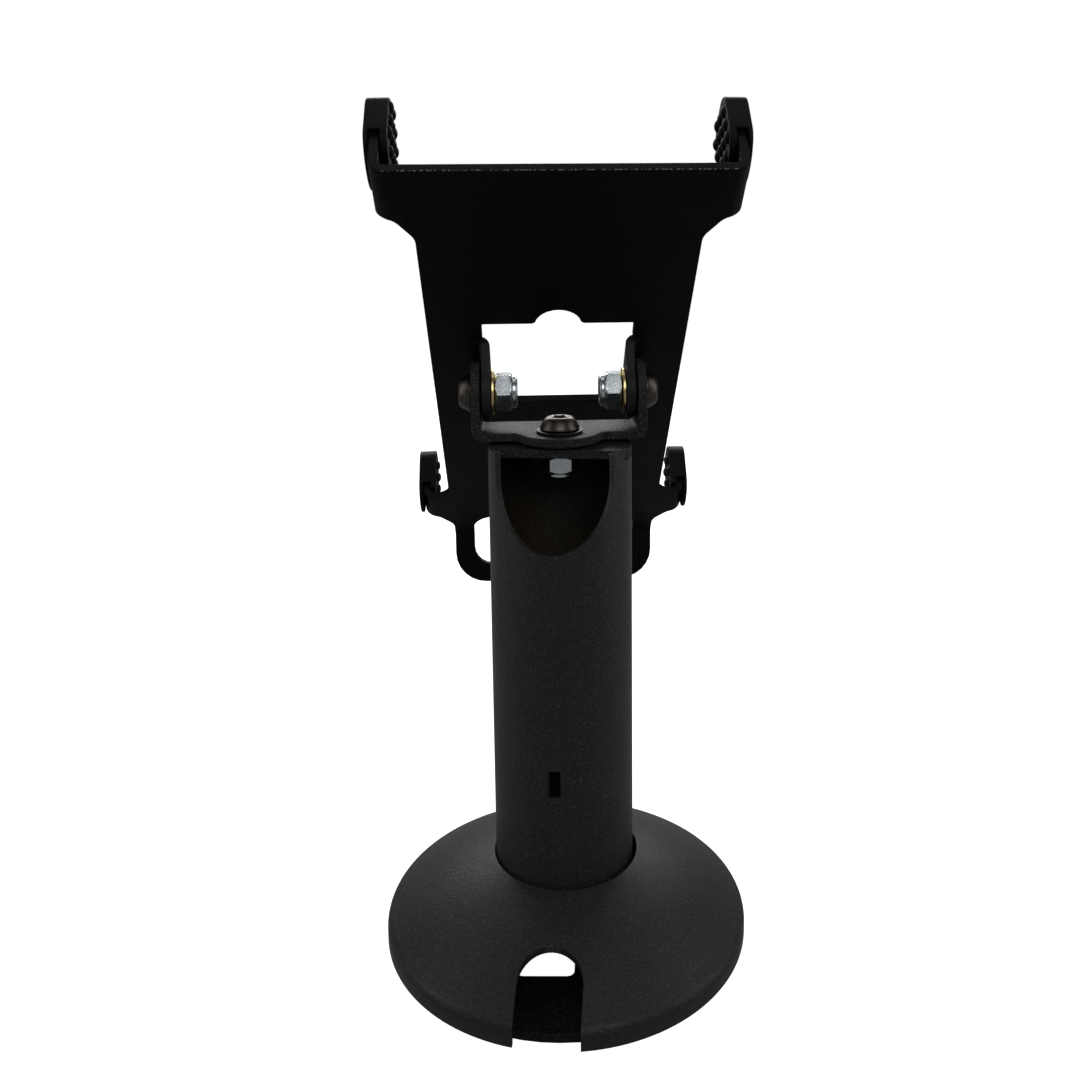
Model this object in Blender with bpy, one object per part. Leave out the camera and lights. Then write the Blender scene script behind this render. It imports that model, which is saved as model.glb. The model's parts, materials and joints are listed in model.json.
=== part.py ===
"""Swivel-and-tilt pole stand for a payment terminal: a round base with a lift-up cover, a steel pole,
a swivelling U-shaped yoke and a tilting sheet-steel cradle with four rubber grips.

World frame, metres: +Z up, origin on the pole's axis at the underside of the base. +Y is the way the
terminal faces, and -Y is the back, where the cable leaves. Sizes below are in millimetres.
"""

import math

import bmesh
import bpy
from mathutils import Matrix, Vector

MM = 0.001
GAP = 0.3  # clearance between pieces that touch
PAST = 5.0  # how far a cutter runs past what it cuts

# Sheet steel and hardware
SHEET = 3.1
SCREW_R = 3.9  # M8
HOLE_R = 4.3
HEAD_R = 7.0
HEAD_H = 4.3
HEAD_EDGE = 0.5
HEAD_FLAT_R = 3.9
SOCKET_AF = 5.0
SOCKET_DEPTH = 2.6
CHAMFER = 0.6
NUT_AF = 13.0
NUT_H = 8.0
NUT_HEX_H = 6.2
SCREW_PAST_NUT = -0.3  # a shank's end stands back inside the collar
COLLAR_R = 5.9
SIDE_NUT_TURN = math.radians(30)  # a corner of each side nut points straight back
COLLAR_WALL = 1.4
SIDE_WASHER = (8.2, 1.0)  # radius, thickness
HEAD_WASHER = (8.3, 0.8)
FRICTION_WASHER_R = 10.0

# Base
PLATE_R = 62.7
PLATE_T = 3.0
PLATE_TURN = -4.0  # degrees about Z
CABLE_HOLE = (-16.0, 4.2, -36.3, -8.0)  # x low, x high, y low, y high
FIXING_HOLE_R = 2.75
FIXING_CIRCLE_R = 50.0
COVER_R = 66.2
COVER_H = 28.4
COVER_WALL = 2.0
COVER_SHOULDER_Z = 4.5
COVER_SHOULDER_R = 4.2
COVER_BULGE = 0.08  # how far the crown stands over a straight cone, as a part of its rise
COVER_HOLE_R = 26.3
COVER_TURN = -8.0
COVER_LIFT_GAP = 0.2
COVER_AT = (0.45, -0.65)  # it sits loose round the pole
NOTCH_HALF_W = 10.95
NOTCH_ARCH_Y = -53.3
NOTCH_ARCH_DEPTH = 9.0

# Pole
POLE_R = 25.4
POLE_WALL = 2.0
POLE_TOP = 181.2
POLE_TURN = -9.3
BACK_OPENING_HALF_W = 20.2
BACK_OPENING_ARC_Z = 172.0
BACK_OPENING_ARC_H = 23.8
TIE_SLOT = (4.4, 9.7, 66.4)  # width, height, middle height
FOOT_OPENING = (18.0, 14.0)  # width, height
CAP_CHORD_Y = -9.9
CAP_TAB_FROM = 70.0  # degrees from the back
CAP_TAB_TO = 110.0
WELD_LEG = 3.0

# Yoke
YOKE_Z = 182.3
EAR_INSIDE = 28.0
EAR_R = 11.3
YOKE_BEND_R = 2.6  # mid-surface
LOBE_R = 15.0
LOBE_Y = 2.7
PIVOT_Y = 10.7
PIVOT_Z = 198.45

# Cradle, in the sheet's own frame: u across, v up the sheet, n out of its front, origin on the pivot
TILT = 44.4  # degrees back from upright
BACK_N = 12.2
HALF_W = 46.0
ARM_BEND_U = 52.6
ARM_BEND_R = 3.5
ARM_BEND = math.radians(88.3)
ARM_CORNER_R = 6.5
UPPER_ARM = (74.6, 94.4, 30.3)  # v low, v high, reach from the end of its bend
LOWER_ARM = (-110.5, -94.6, 20.3)
WINDOW = (26.9, -23.2, 23.2)  # half width, v low, v high
WINDOW_CORNER = 0.6
WINDOW_NOTCH_R = 8.2
TAB_OUTSIDE = 27.4
TAB_BEND_R = 2.9
TAB_ROOT = 13.5
TAB_R = 10.0
RELIEF_U = 30.6
RELIEF_H = 1.2
LIP_BEND_V = -126.5
LIP_BEND_R = 4.5
LIP_BEND = math.radians(44.4)
LIP_HALF_W = 45.4
LIP_BOTTOM = -152.0  # v, measured along the sheet
LOOP_HALF_W = 36.6
LOOP_TOP = -112.5
LOOP_BOTTOM = -143.4
GRIP_WALL_OUT = 1.4
GRIP_WALL_IN = 2.2
GRIP_RIM = 1.6
GRIP_LENGTH = 20.0  # from the mouth to the tip
GRIP_SKIRT = 7.5  # how far the walls reach below the mouth
GRIP_INNER_FROM = -0.6  # where the inner wall may start, along the arm from the end of its bend

COAT_COLOR = (0.018, 0.018, 0.019)
OXIDE_COLOR = (0.045, 0.04, 0.036)
QUARTER = math.radians(90)


# ---------------------------------------------------------------- helpers


def clear_scene():
    for obj in list(bpy.data.objects):
        bpy.data.objects.remove(obj, do_unlink=True)


def material(name, color, roughness, metallic):
    made = bpy.data.materials.get(name)
    if made is None:
        made = bpy.data.materials.new(name)
        made.use_nodes = True
        shader = made.node_tree.nodes["Principled BSDF"]
        shader.inputs["Base Color"].default_value = (*color, 1.0)
        shader.inputs["Roughness"].default_value = roughness
        shader.inputs["Metallic"].default_value = metallic
    return made


def coat():
    return material("black_powder_coat", COAT_COLOR, 0.55, 0.0)


def black_oxide():
    return material("black_oxide_steel", OXIDE_COLOR, 0.34, 0.85)


def empty(name, location=(0, 0, 0), rotation=(0, 0, 0), parent=None):
    made = bpy.data.objects.new(name, None)
    bpy.context.scene.collection.objects.link(made)
    made.parent = parent
    made.location = Vector(location) * MM
    made.rotation_euler = rotation
    return made


def solid(name, bm, finish, parent=None, location=(0, 0, 0), rotation=(0, 0, 0)):
    """An object from a bmesh in millimetres."""
    bmesh.ops.scale(bm, vec=(MM, MM, MM), verts=bm.verts)
    mesh = bpy.data.meshes.new(name)
    bm.to_mesh(mesh)
    bm.free()
    mesh.shade_smooth()
    mesh.set_sharp_from_angle(angle=math.radians(35))
    made = bpy.data.objects.new(name, mesh)
    bpy.context.scene.collection.objects.link(made)
    if finish:
        mesh.materials.append(finish)
    made.parent = parent
    made.location = Vector(location) * MM
    made.rotation_euler = rotation
    return made


def cut(target, cutter, label):
    """Subtracts a hidden cutter, which sits in the same parent frame."""
    cutter.parent = target.parent
    cutter.hide_render = True
    cutter.display_type = "WIRE"
    modifier = target.modifiers.new(label, "BOOLEAN")
    modifier.operation = "DIFFERENCE"
    modifier.solver = "EXACT"
    modifier.object = cutter


def arc(cx, cy, r, start, end, steps, ry=None):
    """Points on an arc from start to end, in degrees."""
    ry = r if ry is None else ry
    angles = [math.radians(start + (end - start) * i / steps) for i in range(steps + 1)]
    return [(cx + r * math.cos(a), cy + ry * math.sin(a)) for a in angles]


def rounded(corners, steps=5):
    """A closed outline whose corners (x, y, radius) are turned into arcs."""
    outline = []
    count = len(corners)
    for i, (x, y, r) in enumerate(corners):
        here = Vector((x, y))
        if r <= 0:
            outline.append((x, y))
            continue
        before = (Vector(corners[i - 1][:2]) - here).normalized()
        after = (Vector(corners[(i + 1) % count][:2]) - here).normalized()
        half = before.angle(after) / 2
        middle = here + (before + after).normalized() * (r / math.sin(half))
        first = here + before * (r / math.tan(half)) - middle
        last = here + after * (r / math.tan(half)) - middle
        turn = first.angle_signed(last)
        for k in range(steps + 1):
            spoke = first.copy()
            spoke.rotate(Matrix.Rotation(-turn * k / steps, 2))
            outline.append(tuple(middle + spoke))
    return outline


def both_halves(right):
    """A closed outline from its right half, whose first and last points lie on x = 0."""
    return right + [(-x, y) for x, y in reversed(right[1:-1])]


def flat_sheet(outline, holes=()):
    """A flat mesh in XY with holes."""
    bm = bmesh.new()
    for loop in (outline, *holes):
        verts = [bm.verts.new((x, y, 0)) for x, y in loop]
        for i, vert in enumerate(verts):
            bm.edges.new((vert, verts[(i + 1) % len(verts)]))
    bmesh.ops.triangle_fill(bm, edges=bm.edges[:], use_beauty=True)
    return bm


def thicken(bm, low, high):
    """Turns a flat XY mesh at z = 0 into a closed slab from z = low to z = high."""
    bmesh.ops.recalc_face_normals(bm, faces=bm.faces)
    lower = bm.verts[:]
    rim = [edge for edge in bm.edges if edge.is_boundary]
    copied = bmesh.ops.duplicate(bm, geom=lower + bm.edges[:] + bm.faces[:])
    above = copied["vert_map"]
    for vert in lower:
        vert.co.z = low
        above[vert].co.z = high
    for edge in rim:
        a, b = edge.verts
        bm.faces.new((a, b, above[b], above[a]))
    bmesh.ops.recalc_face_normals(bm, faces=bm.faces)
    return bm


def slab(outline, low, high, holes=()):
    return thicken(flat_sheet(outline, holes), low, high)


def circle(r, steps, cx=0.0, cy=0.0):
    return arc(cx, cy, r, 0, 360 * (steps - 1) / steps, steps - 1)


def turned(profile, steps, sweep=360.0, start=0.0):
    """A closed profile of (radius, z) turned about Z. Under 360 degrees its ends are capped."""
    bm = bmesh.new()
    full = sweep >= 360.0
    count = steps if full else steps + 1
    rings = []
    for i in range(count):
        a = math.radians(start + sweep * i / steps)
        ring = [bm.verts.new((r * math.cos(a), r * math.sin(a), z)) for r, z in profile]
        rings.append(ring)
    size = len(profile)
    for i in range(steps):
        one = rings[i]
        two = rings[(i + 1) % count]
        for j in range(size):
            k = (j + 1) % size
            bm.faces.new((one[j], one[k], two[k], two[j]))
    if not full:
        bm.faces.new(rings[0])
        bm.faces.new(rings[-1])
    bmesh.ops.remove_doubles(bm, verts=bm.verts, dist=1e-6)
    bmesh.ops.recalc_face_normals(bm, faces=bm.faces)
    return bm


def bend(distance, radius, angle):
    """Where a point `distance` past a bend line goes: (along the flat, out of the flat)."""
    length = radius * angle
    if distance <= 0:
        return distance, 0.0
    if distance < length:
        turn = distance / radius
        return radius * math.sin(turn), radius * (1 - math.cos(turn))
    rest = distance - length
    along = radius * math.sin(angle) + rest * math.cos(angle)
    out = radius * (1 - math.cos(angle)) + rest * math.sin(angle)
    return along, out


def slice_sheet(bm, axis, places):
    """Cuts the sheet across at each place, so that it can bend there."""
    for place in places:
        point = Vector((0, 0, 0))
        point[axis] = place
        normal = Vector((0, 0, 0))
        normal[axis] = 1
        geom = bm.verts[:] + bm.edges[:] + bm.faces[:]
        bmesh.ops.bisect_plane(bm, geom=geom, dist=1e-4, plane_co=point, plane_no=normal)


def bend_places(line, radius, angle, steps):
    """Where to cut the sheet across for one bend. A negative radius runs the other way."""
    return [line + radius * angle * i / steps for i in range(steps + 1)]


def thicken_sheet(obj, thickness):
    """Gives a folded or rolled middle surface its thickness."""
    modifier = obj.modifiers.new("sheet_thickness", "SOLIDIFY")
    modifier.thickness = thickness * MM
    modifier.offset = 0.0
    modifier.use_even_offset = True


# ---------------------------------------------------------------- base


def base_plate():
    x0, x1, y0, y1 = CABLE_HOLE
    cable_hole = rounded([(x0, y0, 2.5), (x1, y0, 2.5), (x1, y1, 2.5), (x0, y1, 2.5)], 3)
    fixings = []
    for x, y in arc(0, 0, FIXING_CIRCLE_R, 45, 315, 3):
        fixings.append(circle(FIXING_HOLE_R, 12, x, y))
    bm = slab(circle(PLATE_R, 64), 0, PLATE_T, [cable_hole, *fixings])
    solid("base_plate", bm, coat(), rotation=(0, 0, math.radians(PLATE_TURN)))


def cover_outline():
    """The cover's outer profile from the rim's foot up to the pole hole: (radius, z)."""
    foot = [(COVER_R, COVER_LIFT_GAP), (COVER_R, COVER_SHOULDER_Z)]
    shoulder = arc(COVER_R - COVER_SHOULDER_R, COVER_SHOULDER_Z, COVER_SHOULDER_R, 12, 66, 5)
    start_r, start_z = shoulder[-1]
    steps = 8
    crown = []
    for i in range(1, steps + 1):
        t = i / steps
        rise = t + COVER_BULGE * math.sin(math.pi * t)
        r = start_r + (COVER_HOLE_R - start_r) * t
        crown.append((r, start_z + (COVER_H - start_z) * rise))
    return foot + shoulder + crown


def base_cover():
    outer = cover_outline()
    inner = []
    for i, (r, z) in enumerate(outer):
        before = Vector(outer[max(i - 1, 0)])
        after = Vector(outer[min(i + 1, len(outer) - 1)])
        along = (after - before).normalized()
        inner.append((r - along.y * COVER_WALL, z + along.x * COVER_WALL))
    inner[0] = (COVER_R - COVER_WALL, COVER_LIFT_GAP)
    inner[-1] = (COVER_HOLE_R, COVER_H - COVER_WALL)
    frame = empty("cover_frame", (*COVER_AT, 0), (0, 0, math.radians(COVER_TURN)))
    cover = solid("base_cover", turned(outer + inner[::-1], 72), coat(), frame)
    arch = arc(0, NOTCH_ARCH_Y, NOTCH_HALF_W, 0, 180, 14, ry=NOTCH_ARCH_DEPTH)
    outline = [(NOTCH_HALF_W, -COVER_R - PAST)] + arch + [(-NOTCH_HALF_W, -COVER_R - PAST)]
    notch = solid("cover_notch_cutter", slab(outline, -PAST, COVER_H + PAST), None, frame)
    cut(cover, notch, "cable_notch")


# ---------------------------------------------------------------- pole


def around(x):
    """How far round the wall's middle from the back a point is, for an x on the outer surface."""
    return (POLE_R - POLE_WALL / 2) * math.asin(x / POLE_R)


def pole_tube(frame):
    """The wall drawn flat with its openings, rolled round the pole's axis and thickened."""
    mid_r = POLE_R - POLE_WALL / 2
    low = PLATE_T + GAP
    seam = math.pi * mid_r
    foot_w, foot_h = FOOT_OPENING
    foot = arc(0, low + foot_h - foot_w / 2, foot_w / 2, 0, 90, 6)
    back = arc(0, BACK_OPENING_ARC_Z, BACK_OPENING_HALF_W, -90, 0, 12, ry=BACK_OPENING_ARC_H)
    seat_from = mid_r * math.radians(CAP_TAB_FROM) - GAP
    seat_to = mid_r * math.radians(CAP_TAB_TO) + GAP
    seat_z = POLE_TOP - SHEET - GAP
    right = [(around(foot_w / 2), low), (seam, low), (seam, POLE_TOP)]
    right += [(seat_to, POLE_TOP), (seat_to, seat_z), (seat_from, seat_z), (seat_from, POLE_TOP)]
    right.append((around(BACK_OPENING_HALF_W), POLE_TOP))
    right += [(around(x), z) for x, z in reversed(back)]
    left = [(-s, z) for s, z in reversed(right[:-1])]
    arch = [(around(x), z) for x, z in foot]
    outline = right + left + [(-s, z) for s, z in arch[:-1]] + arch[:0:-1]
    width, height, middle = TIE_SLOT
    slot = [(-1, -1), (1, -1), (1, 1), (-1, 1)]
    slot = [(around(i * width / 2), middle + k * height / 2) for i, k in slot]
    bm = flat_sheet(outline, [slot])
    steps = 72
    slice_sheet(bm, 0, [seam * (2 * i / steps - 1) for i in range(1, steps)])
    for vert in bm.verts:
        angle = vert.co.x / mid_r
        vert.co = Vector((mid_r * math.sin(angle), -mid_r * math.cos(angle), vert.co.y))
    bmesh.ops.remove_doubles(bm, verts=bm.verts, dist=1e-4)
    bmesh.ops.recalc_face_normals(bm, faces=bm.faces)
    thicken_sheet(solid("pole_tube", bm, coat(), frame), POLE_WALL)


def pole_cap(frame):
    r = POLE_R - POLE_WALL - GAP
    chord = math.degrees(math.asin(CAP_CHORD_Y / r))
    right_tab = (CAP_TAB_FROM - 90, CAP_TAB_TO - 90)
    left_tab = (270 - CAP_TAB_TO, 270 - CAP_TAB_FROM)
    outline = arc(0, 0, r, chord, right_tab[0], 5)
    outline += arc(0, 0, POLE_R, *right_tab, 5)
    outline += arc(0, 0, r, right_tab[1], left_tab[0], 14)
    outline += arc(0, 0, POLE_R, *left_tab, 5)
    outline += arc(0, 0, r, left_tab[1], 180 - chord, 5)
    bm = slab(outline, POLE_TOP - SHEET, POLE_TOP, [circle(HOLE_R, 20)])
    solid("pole_cap", bm, coat(), frame)


def foot_weld(frame):
    """The fillet weld round the pole's foot, open at the cable's way out."""
    r = POLE_R + GAP
    z = PLATE_T + GAP
    hollow = WELD_LEG * 0.45
    profile = [(r, z), (r + WELD_LEG, z), (r + hollow, z + hollow), (r, z + WELD_LEG)]
    open_half = math.degrees(math.asin((FOOT_OPENING[0] / 2 + 1) / POLE_R))
    bm = turned(profile, 48, 360 - 2 * open_half, open_half - 90)
    solid("pole_foot_weld", bm, material("weld_bead", (0.03, 0.03, 0.03), 0.6, 0.2), frame)


# ---------------------------------------------------------------- hardware


def ring(r_in, r_out, low, high):
    return turned([(r_out, low), (r_out, high), (r_in, high), (r_in, low)], 28)


def button_screw(name, length, location, rotation=(0, 0, 0)):
    """A socket button-head screw: the head stands on z = 0 and the shank runs down."""
    dome = []
    for i in range(5):
        t = i / 4
        r = HEAD_R + (HEAD_FLAT_R - HEAD_R) * t
        rise = math.sin(QUARTER * t) ** 0.9
        dome.append((r, HEAD_EDGE + (HEAD_H - HEAD_EDGE) * rise))
    tip = (0, -length), (SCREW_R - CHAMFER, -length), (SCREW_R, CHAMFER - length)
    profile = [*tip, (SCREW_R, 0), (HEAD_R - GAP, 0), *dome, (0, HEAD_H)]
    made = solid(name, turned(profile, 28), black_oxide(), None, location, rotation)
    socket = slab(circle(SOCKET_AF / math.sqrt(3), 6), HEAD_H - SOCKET_DEPTH, HEAD_H + PAST)
    cut(made, solid(name + "_socket_cutter", socket, None, None, location, rotation), "hex_socket")


def lock_nut(name, location, rotation, turn=0.0):
    """A nylon-insert lock nut on z = 0 to NUT_H, and its insert. The collar is at the top."""
    flat = NUT_AF / 2
    corner = NUT_AF / math.sqrt(3)
    mouth = COLLAR_R - COLLAR_WALL
    ledge = NUT_HEX_H + 0.1
    levels = [
        (0.0, flat * 0.97),
        (0.7, corner),
        (NUT_HEX_H - 0.9, corner),
        (NUT_HEX_H, flat * 0.95),
        (NUT_HEX_H + 0.2, COLLAR_R + 0.2),
        (NUT_H - 0.7, COLLAR_R),
        (NUT_H, mouth + 0.5),
        (NUT_H, mouth),
        (ledge, mouth),
        (ledge, HOLE_R),
        (0.0, HOLE_R),
    ]
    steps = 24
    bm = bmesh.new()
    rings = []
    for z, r in levels:
        loop = []
        for i in range(steps):
            a = 2 * math.pi * i / steps
            past_corner = a % math.radians(60) - math.radians(30)
            size = min(r, flat / math.cos(past_corner))
            place = a + turn
            loop.append(bm.verts.new((size * math.cos(place), size * math.sin(place), z)))
        rings.append(loop)
    for one, two in zip(rings, rings[1:] + rings[:1]):
        for i in range(steps):
            k = (i + 1) % steps
            bm.faces.new((one[i], one[k], two[k], two[i]))
    bmesh.ops.recalc_face_normals(bm, faces=bm.faces)
    zinc = material("bright_zinc", (0.72, 0.74, 0.76), 0.22, 1.0)
    solid(name, bm, zinc, None, location, rotation)
    nylon = material("white_nylon", (0.62, 0.68, 0.72), 0.45, 0.0)
    insert = ring(SCREW_R + GAP, mouth - GAP / 2, ledge + GAP, NUT_H - GAP)
    solid(name + "_insert", insert, nylon, None, location, rotation)


def swivel_hardware():
    friction = ring(HOLE_R, FRICTION_WASHER_R, POLE_TOP + GAP, YOKE_Z - GAP)
    solid("swivel_friction_washer", friction, material("black_nylon", (0.03, 0.03, 0.03), 0.5, 0.0))
    radius, thickness = HEAD_WASHER
    washer_z = YOKE_Z + SHEET + GAP
    head_z = washer_z + thickness + GAP
    nut_z = POLE_TOP - SHEET - GAP
    solid("swivel_head_washer", ring(HOLE_R, radius, washer_z, head_z - GAP), black_oxide())
    button_screw("swivel_screw", head_z - nut_z + NUT_H + SCREW_PAST_NUT, (0, 0, head_z))
    lock_nut("swivel_nut", (0, 0, nut_z), (math.pi, 0, 0))


def tilt_hardware(side, label):
    """A screw through one ear and one tab, with its washer and lock nut on the inside."""
    outward = (0, side * QUARTER, 0)
    inward = (0, -side * QUARTER, 0)
    radius, thickness = SIDE_WASHER
    head_x = EAR_INSIDE + SHEET + GAP
    washer_x = TAB_OUTSIDE - SHEET - GAP
    nut_x = washer_x - thickness - GAP
    length = head_x - nut_x + NUT_H + SCREW_PAST_NUT
    button_screw("tilt_screw_" + label, length, (side * head_x, PIVOT_Y, PIVOT_Z), outward)
    washer = ring(HOLE_R, radius, 0, thickness)
    yellow = material("yellow_zinc", (0.72, 0.55, 0.22), 0.3, 1.0)
    solid("tilt_washer_" + label, washer, yellow, None, (side * washer_x, PIVOT_Y, PIVOT_Z), inward)
    lock_nut("tilt_nut_" + label, (side * nut_x, PIVOT_Y, PIVOT_Z), inward, SIDE_NUT_TURN)


# ---------------------------------------------------------------- yoke


def yoke():
    """A strip with two ears bent up, drawn flat, sliced at its bends, folded and thickened."""
    mid_ear = EAR_INSIDE + SHEET / 2
    bend_u = mid_ear - YOKE_BEND_R
    mid_z = YOKE_Z + SHEET / 2
    bend_length = YOKE_BEND_R * QUARTER
    pivot_s = bend_u + bend_length + (PIVOT_Z - mid_z - YOKE_BEND_R)
    back = PIVOT_Y - EAR_R
    lobe_half = math.degrees(math.acos((LOBE_Y - back) / LOBE_R))
    right = arc(0, LOBE_Y, LOBE_R, -90, lobe_half - 96, 9)
    lobe_end = right[-1][0]
    right += [(lobe_end + 1.6, back + 0.35), (lobe_end + 3.4, back)]
    right += arc(pivot_s, PIVOT_Y, EAR_R, -90, 90, 14)
    right.append((0, PIVOT_Y + EAR_R))
    holes = [circle(HOLE_R, 20)]
    holes += [circle(HOLE_R, 20, side * pivot_s, PIVOT_Y) for side in (-1, 1)]
    bm = flat_sheet(both_halves(right), holes)
    bends = bend_places(bend_u, YOKE_BEND_R, QUARTER, 5)
    slice_sheet(bm, 0, bends + [-u for u in bends])
    for vert in bm.verts:
        side = math.copysign(1, vert.co.x)
        along, out = bend(abs(vert.co.x) - bend_u, YOKE_BEND_R, QUARTER)
        vert.co.x = side * (bend_u + along)
        vert.co.z = mid_z + out
    bmesh.ops.recalc_face_normals(bm, faces=bm.faces)
    thicken_sheet(solid("swivel_yoke", bm, coat()), SHEET)


# ---------------------------------------------------------------- cradle


def cradle_outline():
    """The right half of the unfolded sheet, from the lip's middle up to the top edge's middle."""
    root = ARM_BEND_U + ARM_BEND_R * ARM_BEND
    low0, low1, low_reach = LOWER_ARM
    up0, up1, up_reach = UPPER_ARM
    corners = [
        (0, LIP_BOTTOM, 0),
        (LIP_HALF_W, LIP_BOTTOM, 14),
        (LIP_HALF_W, low0 - 8, 7),
        (LIP_HALF_W + 7, low0, 7),
        (root + low_reach, low0, ARM_CORNER_R),
        (root + low_reach, low1, ARM_CORNER_R),
        (HALF_W, low1, 6),
        (HALF_W, up0 - 9, 7),
        (HALF_W + 6.5, up0, 6),
        (root + up_reach, up0, ARM_CORNER_R),
        (root + up_reach, up1, ARM_CORNER_R),
        (0, up1, 0),
    ]
    return rounded(corners, 6)


def cradle_window():
    """The window with its round notch at the top and the two pivot tabs reaching into it.

    Returns the window's outline, the pivot holes and the line where each tab bends.
    """
    half, low, high = WINDOW
    bend_u = TAB_OUTSIDE - SHEET / 2 + TAB_BEND_R
    root_u = bend_u - TAB_BEND_R * QUARTER
    pivot_u = root_u - (BACK_N + SHEET / 2 - TAB_BEND_R)
    relief = TAB_ROOT + RELIEF_H
    cut_off = WINDOW_CORNER
    right = [(0, low), (half - cut_off, low), (half, low + cut_off)]
    right += [(half, -relief), (RELIEF_U, -relief), (RELIEF_U, -TAB_ROOT), (root_u, -TAB_ROOT)]
    right += arc(pivot_u, 0, TAB_R, -82, -278, 18)
    right += [(root_u, TAB_ROOT), (RELIEF_U, TAB_ROOT), (RELIEF_U, relief), (half, relief)]
    right += [(half, high - cut_off), (half - cut_off, high), (WINDOW_NOTCH_R + 1, high)]
    right += arc(0, high - 1, WINDOW_NOTCH_R, 12, 90, 6)
    pivots = [circle(HOLE_R, 20, side * pivot_u, 0) for side in (-1, 1)]
    return both_halves(right), pivots, bend_u


def cable_loop():
    half = LOOP_HALF_W
    below = [(-half, LOOP_BOTTOM, 8), (half, LOOP_BOTTOM, 8)]
    above = [(half, LOOP_TOP, 10), (-half, LOOP_TOP, 10)]
    return rounded(below + above)


def cradle_plate(frame):
    window, pivots, tab_bend_u = cradle_window()
    bm = flat_sheet(both_halves(cradle_outline()), [window, cable_loop(), *pivots])
    bends = bend_places(ARM_BEND_U, ARM_BEND_R, ARM_BEND, 6)
    bends += bend_places(tab_bend_u, -TAB_BEND_R, QUARTER, 5)
    slice_sheet(bm, 0, bends + [-u for u in bends])
    slice_sheet(bm, 1, bend_places(LIP_BEND_V, -LIP_BEND_R, LIP_BEND, 4))
    for vert in bm.verts:
        vert.co = folded_cradle_point(vert.co.x, vert.co.y, tab_bend_u)
    bmesh.ops.recalc_face_normals(bm, faces=bm.faces)
    thicken_sheet(solid("cradle_plate", bm, coat(), frame), SHEET)


def folded_cradle_point(u, v, tab_bend_u):
    """Where a point (u, v) of the unfolded sheet's middle lies on the folded one: (u, n, v)."""
    side = math.copysign(1, u)
    n = BACK_N + SHEET / 2
    if v < LIP_BEND_V:
        along, out = bend(LIP_BEND_V - v, LIP_BEND_R, LIP_BEND)
        return Vector((u, n - out, LIP_BEND_V - along))
    if abs(u) > ARM_BEND_U:
        along, out = bend(abs(u) - ARM_BEND_U, ARM_BEND_R, ARM_BEND)
        return Vector((side * (ARM_BEND_U + along), n + out, v))
    in_window = WINDOW[1] < v < WINDOW[2] and abs(u) < tab_bend_u
    if in_window and abs(v) < TAB_ROOT + RELIEF_H / 2:
        along, out = bend(tab_bend_u - abs(u), TAB_BEND_R, QUARTER)
        return Vector((side * (tab_bend_u - along), n - out, v))
    return Vector((u, n, v))


def grip(name, frame, side, arm):
    """A rubber sock over an arm's end: two walls, joined by a rim above the mouth."""
    low, high, reach = arm
    root_u = ARM_BEND_U + ARM_BEND_R * math.sin(ARM_BEND)
    root_n = BACK_N + SHEET / 2 + ARM_BEND_R * (1 - math.cos(ARM_BEND))
    along = Vector((side * math.cos(ARM_BEND), math.sin(ARM_BEND), 0))
    across = Vector((0, 0, 1))
    thick = along.cross(across)
    place = Matrix((along, across, thick)).transposed().to_4x4()
    place.translation = Vector((side * root_u, root_n, (low + high) / 2)) * MM
    outward = math.copysign(1, thick.x * side)
    walls = sorted((outward * GRIP_WALL_OUT, -outward * GRIP_WALL_IN))
    slot = SHEET / 2 + GAP
    pocket_half = (high - low) / 2 + GAP
    outer_half = pocket_half + GRIP_RIM
    pocket_tip = reach + GAP
    pocket_corner = ARM_CORNER_R + GAP
    mouth = pocket_tip + GRIP_RIM - GRIP_LENGTH
    outline = arc(mouth, 0, GRIP_SKIRT, 90, 270, 14, ry=outer_half)
    outline += grip_tip(pocket_tip + GRIP_RIM, outer_half, pocket_corner + GRIP_RIM)
    body = slab(outline, walls[0] - slot, walls[1] + slot)
    made = solid(name, body, material("black_rubber", (0.02, 0.02, 0.02), 0.8, 0.0), frame)
    made.matrix_local = place
    wide = outer_half + PAST
    start = mouth - wide
    pocket = [(start, wide), (start, -wide), (mouth, -wide), (mouth, -pocket_half)]
    pocket += grip_tip(pocket_tip, pocket_half, pocket_corner)
    pocket += [(mouth, pocket_half), (mouth, wide)]
    cutters = {"arm_pocket": slab(pocket, -slot, slot)}
    if mouth - GRIP_SKIRT < GRIP_INNER_FROM:
        square = [(start, -wide), (GRIP_INNER_FROM, -wide), (GRIP_INNER_FROM, wide), (start, wide)]
        ends = sorted((0.0, -outward * (slot + GRIP_WALL_IN + PAST)))
        cutters["inner_wall_trim"] = slab(square, *ends)
    for label, bm in cutters.items():
        cutter = solid(name + "_" + label, bm, None)
        cut(made, cutter, label)
        cutter.matrix_local = place


def grip_tip(tip, half, corner):
    """The two round corners at the end of a grip's outline."""
    lower = arc(tip - corner, corner - half, corner, -90, 0, 5)
    return lower + arc(tip - corner, half - corner, corner, 0, 90, 5)


def main():
    clear_scene()
    pole_frame = empty("pole_frame", rotation=(0, 0, math.radians(POLE_TURN)))
    base_plate()
    base_cover()
    pole_tube(pole_frame)
    pole_cap(pole_frame)
    foot_weld(pole_frame)
    swivel_hardware()
    yoke()
    for side, label in ((-1, "left"), (1, "right")):
        tilt_hardware(side, label)
    cradle_frame = empty("cradle_frame", (0, PIVOT_Y, PIVOT_Z), (math.radians(TILT), 0, 0))
    cradle_plate(cradle_frame)
    for side, label in ((-1, "left"), (1, "right")):
        grip("upper_grip_" + label, cradle_frame, side, UPPER_ARM)
        grip("lower_grip_" + label, cradle_frame, side, LOWER_ARM)


main()
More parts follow.
